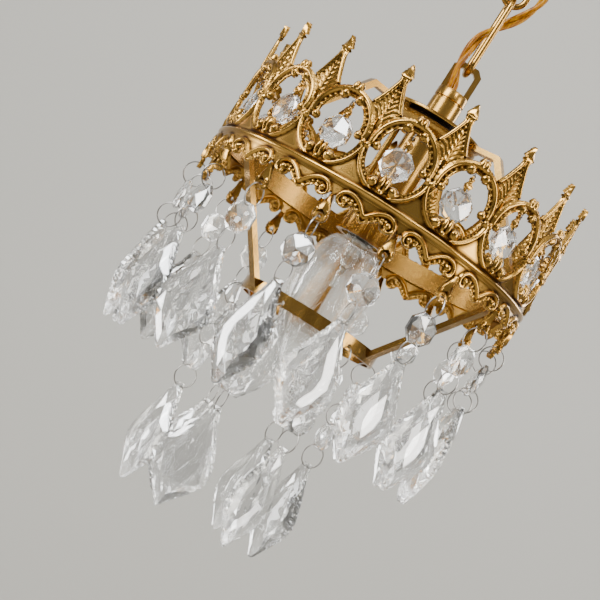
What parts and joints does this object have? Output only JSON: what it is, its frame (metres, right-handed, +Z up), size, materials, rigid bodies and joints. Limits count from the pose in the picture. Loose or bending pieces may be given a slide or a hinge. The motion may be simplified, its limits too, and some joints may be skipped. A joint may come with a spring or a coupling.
{
  "type": "crown pendant light",
  "caption": "Small pierced brass crown pendant light on a chain and twisted flex, hung with cut crystal strings round a clear candle bulb.",
  "frame": {"origin": "middle of the two ceiling screw holes, on the ceiling plane", "axes": "+Z up, -Y towards the front, +X to the right; the light hangs below the origin"},
  "size_m": [0.1693, 0.1742, 0.3631],
  "materials": {
    "satin_brass": "satin, lightly brushed",
    "stamped_brass": "satin, antiqued in the hollows",
    "aged_brass": "satin",
    "zinc_steel": "zinc plated",
    "ring_steel": "drawn wire",
    "nickel_cap": "satin nickel",
    "crystal": "polished and cut",
    "bulb_glass": "clear",
    "stem_glass": "clear",
    "filament": "drawn wire",
    "golden_flex": "clear golden sheath",
    "ivory_plastic": "moulded"
  },
  "bodies": {
    "ceiling_mount": {"ceiling_canopy": "satin_brass", "mounting_bracket": "zinc_steel", "canopy_fasteners": "aged_brass", "canopy_loop": "satin_brass", "cord_gland": "ivory_plastic", "power_cord": "golden_flex"},
    "upper_link": {"upper_chain_link": "satin_brass"},
    "lower_link": {"lower_chain_link": "satin_brass"},
    "light": {"collar_loop": "satin_brass", "collar": "satin_brass", "top_plate": "satin_brass", "lower_dish": "satin_brass", "support_arms": "satin_brass", "upper_hoop": "satin_brass", "crown_strip": "stamped_brass", "lower_bars": "satin_brass", "lower_hoop": "satin_brass", "socket_shell": "satin_brass", "socket_insert": "ivory_plastic", "bulb_base": "nickel_cap", "bulb_glass": "bulb_glass", "bulb_stem": "stem_glass"},
    "upper_string_1_body": {"upper_string_1": "crystal"},
    "upper_string_2_body": {"upper_string_2": "crystal"},
    "upper_string_3_body": {"upper_string_3": "crystal"},
    "upper_string_4_body": {"upper_string_4": "crystal"},
    "upper_string_5_body": {"upper_string_5": "crystal"},
    "upper_string_6_body": {"upper_string_6": "crystal"},
    "upper_string_7_body": {"upper_string_7": "crystal"},
    "upper_string_8_body": {"upper_string_8": "crystal"},
    "upper_string_9_body": {"upper_string_9": "crystal"},
    "upper_string_10_body": {"upper_string_10": "crystal"},
    "upper_string_11_body": {"upper_string_11": "crystal"},
    "upper_string_12_body": {"upper_string_12": "crystal"},
    "upper_string_13_body": {"upper_string_13": "crystal"},
    "upper_string_14_body": {"upper_string_14": "crystal"},
    "upper_string_15_body": {"upper_string_15": "crystal"},
    "upper_string_16_body": {"upper_string_16": "crystal"},
    "lower_string_1_body": {"lower_string_1": "crystal"},
    "lower_string_2_body": {"lower_string_2": "crystal"},
    "lower_string_3_body": {"lower_string_3": "crystal"},
    "lower_string_4_body": {"lower_string_4": "crystal"},
    "lower_string_5_body": {"lower_string_5": "crystal"},
    "lower_string_6_body": {"lower_string_6": "crystal"},
    "medallion_drop_1_body": {"medallion_drop_1": "crystal"},
    "medallion_drop_2_body": {"medallion_drop_2": "crystal"},
    "medallion_drop_3_body": {"medallion_drop_3": "crystal"},
    "medallion_drop_4_body": {"medallion_drop_4": "crystal"},
    "medallion_drop_5_body": {"medallion_drop_5": "crystal"},
    "medallion_drop_6_body": {"medallion_drop_6": "crystal"},
    "medallion_drop_7_body": {"medallion_drop_7": "crystal"},
    "medallion_drop_8_body": {"medallion_drop_8": "crystal"},
    "medallion_drop_9_body": {"medallion_drop_9": "crystal"},
    "medallion_drop_10_body": {"medallion_drop_10": "crystal"},
    "medallion_drop_11_body": {"medallion_drop_11": "crystal"},
    "medallion_drop_12_body": {"medallion_drop_12": "crystal"},
    "medallion_drop_13_body": {"medallion_drop_13": "crystal"},
    "medallion_drop_14_body": {"medallion_drop_14": "crystal"},
    "medallion_drop_15_body": {"medallion_drop_15": "crystal"},
    "medallion_drop_16_body": {"medallion_drop_16": "crystal"}
  },
  "joints": [
    {"name": "upper_link_swing", "type": "hinge", "parent": "ceiling_mount", "child": "upper_link", "pos_m": [0, 0, -0.043], "axis": [1, 0, 0], "range_deg": [-10, 10], "deforming": ["power_cord"]},
    {"name": "lower_link_swing", "type": "hinge", "parent": "upper_link", "child": "lower_link", "pos_m": [0, 0, -0.08185], "axis": [-0.1045, 0.9945, 0], "range_deg": [-10, 10], "deforming": ["power_cord"]},
    {"name": "light_swing", "type": "hinge", "parent": "lower_link", "child": "light", "pos_m": [0, 0, -0.1204], "axis": [1, 0, 0], "range_deg": [-10, 10], "deforming": ["power_cord"]},
    {"name": "upper_string_1_swing", "type": "hinge", "parent": "light", "child": "upper_string_1_body", "pos_m": [0.01141, -0.07868, -0.2253], "axis": [-0.9897, -0.1435, 0], "range_deg": [-3, 20]},
    {"name": "upper_string_2_swing", "type": "hinge", "parent": "light", "child": "upper_string_2_body", "pos_m": [0.04065, -0.06832, -0.2253], "axis": [-0.8594, -0.5113, 0], "range_deg": [-3, 20]},
    {"name": "upper_string_3_swing", "type": "hinge", "parent": "light", "child": "upper_string_3_body", "pos_m": [0.0637, -0.04757, -0.2253], "axis": [-0.5983, -0.8013, 0], "range_deg": [-3, 20]},
    {"name": "upper_string_4_swing", "type": "hinge", "parent": "light", "child": "upper_string_4_body", "pos_m": [0.07705, -0.01957, -0.2253], "axis": [-0.2462, -0.9692, 0], "range_deg": [-3, 20]},
    {"name": "upper_string_5_swing", "type": "hinge", "parent": "light", "child": "upper_string_5_body", "pos_m": [0.07868, 0.01141, -0.2253], "axis": [0.1435, -0.9897, 0], "range_deg": [-3, 20]},
    {"name": "upper_string_6_swing", "type": "hinge", "parent": "light", "child": "upper_string_6_body", "pos_m": [0.06832, 0.04065, -0.2253], "axis": [0.5113, -0.8594, 0], "range_deg": [-3, 20]},
    {"name": "upper_string_7_swing", "type": "hinge", "parent": "light", "child": "upper_string_7_body", "pos_m": [0.04757, 0.0637, -0.2253], "axis": [0.8013, -0.5983, 0], "range_deg": [-3, 20]},
    {"name": "upper_string_8_swing", "type": "hinge", "parent": "light", "child": "upper_string_8_body", "pos_m": [0.01957, 0.07705, -0.2253], "axis": [0.9692, -0.2462, 0], "range_deg": [-3, 20]},
    {"name": "upper_string_9_swing", "type": "hinge", "parent": "light", "child": "upper_string_9_body", "pos_m": [-0.01141, 0.07868, -0.2253], "axis": [0.9897, 0.1435, 0], "range_deg": [-3, 20]},
    {"name": "upper_string_10_swing", "type": "hinge", "parent": "light", "child": "upper_string_10_body", "pos_m": [-0.04065, 0.06832, -0.2253], "axis": [0.8594, 0.5113, 0], "range_deg": [-3, 20]},
    {"name": "upper_string_11_swing", "type": "hinge", "parent": "light", "child": "upper_string_11_body", "pos_m": [-0.0637, 0.04757, -0.2253], "axis": [0.5983, 0.8013, 0], "range_deg": [-3, 20]},
    {"name": "upper_string_12_swing", "type": "hinge", "parent": "light", "child": "upper_string_12_body", "pos_m": [-0.07705, 0.01957, -0.2253], "axis": [0.2462, 0.9692, 0], "range_deg": [-3, 20]},
    {"name": "upper_string_13_swing", "type": "hinge", "parent": "light", "child": "upper_string_13_body", "pos_m": [-0.07868, -0.01141, -0.2253], "axis": [-0.1435, 0.9897, 0], "range_deg": [-3, 20]},
    {"name": "upper_string_14_swing", "type": "hinge", "parent": "light", "child": "upper_string_14_body", "pos_m": [-0.06832, -0.04065, -0.2253], "axis": [-0.5113, 0.8594, 0], "range_deg": [-3, 20]},
    {"name": "upper_string_15_swing", "type": "hinge", "parent": "light", "child": "upper_string_15_body", "pos_m": [-0.04757, -0.0637, -0.2253], "axis": [-0.8013, 0.5983, 0], "range_deg": [-3, 20]},
    {"name": "upper_string_16_swing", "type": "hinge", "parent": "light", "child": "upper_string_16_body", "pos_m": [-0.01957, -0.07705, -0.2253], "axis": [-0.9692, 0.2462, 0], "range_deg": [-3, 20]},
    {"name": "lower_string_1_swing", "type": "hinge", "parent": "light", "child": "lower_string_1_body", "pos_m": [0.0201, -0.02767, -0.2607], "axis": [-0.809, -0.5878, 0], "range_deg": [-3, 15]},
    {"name": "lower_string_2_swing", "type": "hinge", "parent": "light", "child": "lower_string_2_body", "pos_m": [0.03401, 0.00358, -0.2607], "axis": [0.1045, -0.9945, 0], "range_deg": [-3, 15]},
    {"name": "lower_string_3_swing", "type": "hinge", "parent": "light", "child": "lower_string_3_body", "pos_m": [0.01391, 0.03124, -0.2607], "axis": [0.9135, -0.4067, 0], "range_deg": [-3, 15]},
    {"name": "lower_string_4_swing", "type": "hinge", "parent": "light", "child": "lower_string_4_body", "pos_m": [-0.0201, 0.02767, -0.2607], "axis": [0.809, 0.5878, 0], "range_deg": [-3, 15]},
    {"name": "lower_string_5_swing", "type": "hinge", "parent": "light", "child": "lower_string_5_body", "pos_m": [-0.03401, -0.00358, -0.2607], "axis": [-0.1045, 0.9945, 0], "range_deg": [-3, 15]},
    {"name": "lower_string_6_swing", "type": "hinge", "parent": "light", "child": "lower_string_6_body", "pos_m": [-0.01391, -0.03124, -0.2607], "axis": [-0.9135, 0.4067, 0], "range_deg": [-3, 15]},
    {"name": "medallion_drop_1_swing", "type": "hinge", "parent": "light", "child": "medallion_drop_1_body", "pos_m": [-0.00401, -0.07649, -0.1755], "axis": [-0.9986, 0.0523, 0], "range_deg": [-12, 2]},
    {"name": "medallion_drop_2_swing", "type": "hinge", "parent": "light", "child": "medallion_drop_2_body", "pos_m": [0.02557, -0.07221, -0.1755], "axis": [-0.9426, -0.3338, 0], "range_deg": [-12, 2]},
    {"name": "medallion_drop_3_swing", "type": "hinge", "parent": "light", "child": "medallion_drop_3_body", "pos_m": [0.05126, -0.05693, -0.1755], "axis": [-0.7431, -0.6691, 0], "range_deg": [-12, 2]},
    {"name": "medallion_drop_4_swing", "type": "hinge", "parent": "light", "child": "medallion_drop_4_body", "pos_m": [0.06914, -0.03298, -0.1755], "axis": [-0.4305, -0.9026, 0], "range_deg": [-2, 2]},
    {"name": "medallion_drop_5_swing", "type": "hinge", "parent": "light", "child": "medallion_drop_5_body", "pos_m": [0.07649, -0.00401, -0.1755], "axis": [-0.0523, -0.9986, 0], "range_deg": [-12, 2]},
    {"name": "medallion_drop_6_swing", "type": "hinge", "parent": "light", "child": "medallion_drop_6_body", "pos_m": [0.07221, 0.02557, -0.1755], "axis": [0.3338, -0.9426, 0], "range_deg": [-12, 2]},
    {"name": "medallion_drop_7_swing", "type": "hinge", "parent": "light", "child": "medallion_drop_7_body", "pos_m": [0.05693, 0.05126, -0.1755], "axis": [0.6691, -0.7431, 0], "range_deg": [-12, 2]},
    {"name": "medallion_drop_8_swing", "type": "hinge", "parent": "light", "child": "medallion_drop_8_body", "pos_m": [0.03298, 0.06914, -0.1755], "axis": [0.9026, -0.4305, 0], "range_deg": [-12, 2]},
    {"name": "medallion_drop_9_swing", "type": "hinge", "parent": "light", "child": "medallion_drop_9_body", "pos_m": [0.00401, 0.07649, -0.1755], "axis": [0.9986, -0.0523, 0], "range_deg": [-2, 2]},
    {"name": "medallion_drop_10_swing", "type": "hinge", "parent": "light", "child": "medallion_drop_10_body", "pos_m": [-0.02557, 0.07221, -0.1755], "axis": [0.9426, 0.3338, 0], "range_deg": [-12, 2]},
    {"name": "medallion_drop_11_swing", "type": "hinge", "parent": "light", "child": "medallion_drop_11_body", "pos_m": [-0.05126, 0.05693, -0.1755], "axis": [0.7431, 0.6691, 0], "range_deg": [-12, 2]},
    {"name": "medallion_drop_12_swing", "type": "hinge", "parent": "light", "child": "medallion_drop_12_body", "pos_m": [-0.06914, 0.03298, -0.1755], "axis": [0.4305, 0.9026, 0], "range_deg": [-12, 2]},
    {"name": "medallion_drop_13_swing", "type": "hinge", "parent": "light", "child": "medallion_drop_13_body", "pos_m": [-0.07649, 0.00401, -0.1755], "axis": [0.0523, 0.9986, 0], "range_deg": [-12, 2]},
    {"name": "medallion_drop_14_swing", "type": "hinge", "parent": "light", "child": "medallion_drop_14_body", "pos_m": [-0.07221, -0.02557, -0.1755], "axis": [-0.3338, 0.9426, 0], "range_deg": [-12, 2]},
    {"name": "medallion_drop_15_swing", "type": "hinge", "parent": "light", "child": "medallion_drop_15_body", "pos_m": [-0.05693, -0.05126, -0.1755], "axis": [-0.6691, 0.7431, 0], "range_deg": [-12, 2]},
    {"name": "medallion_drop_16_swing", "type": "hinge", "parent": "light", "child": "medallion_drop_16_body", "pos_m": [-0.03298, -0.06914, -0.1755], "axis": [-0.9026, 0.4305, 0], "range_deg": [-12, 2]}
  ]
}
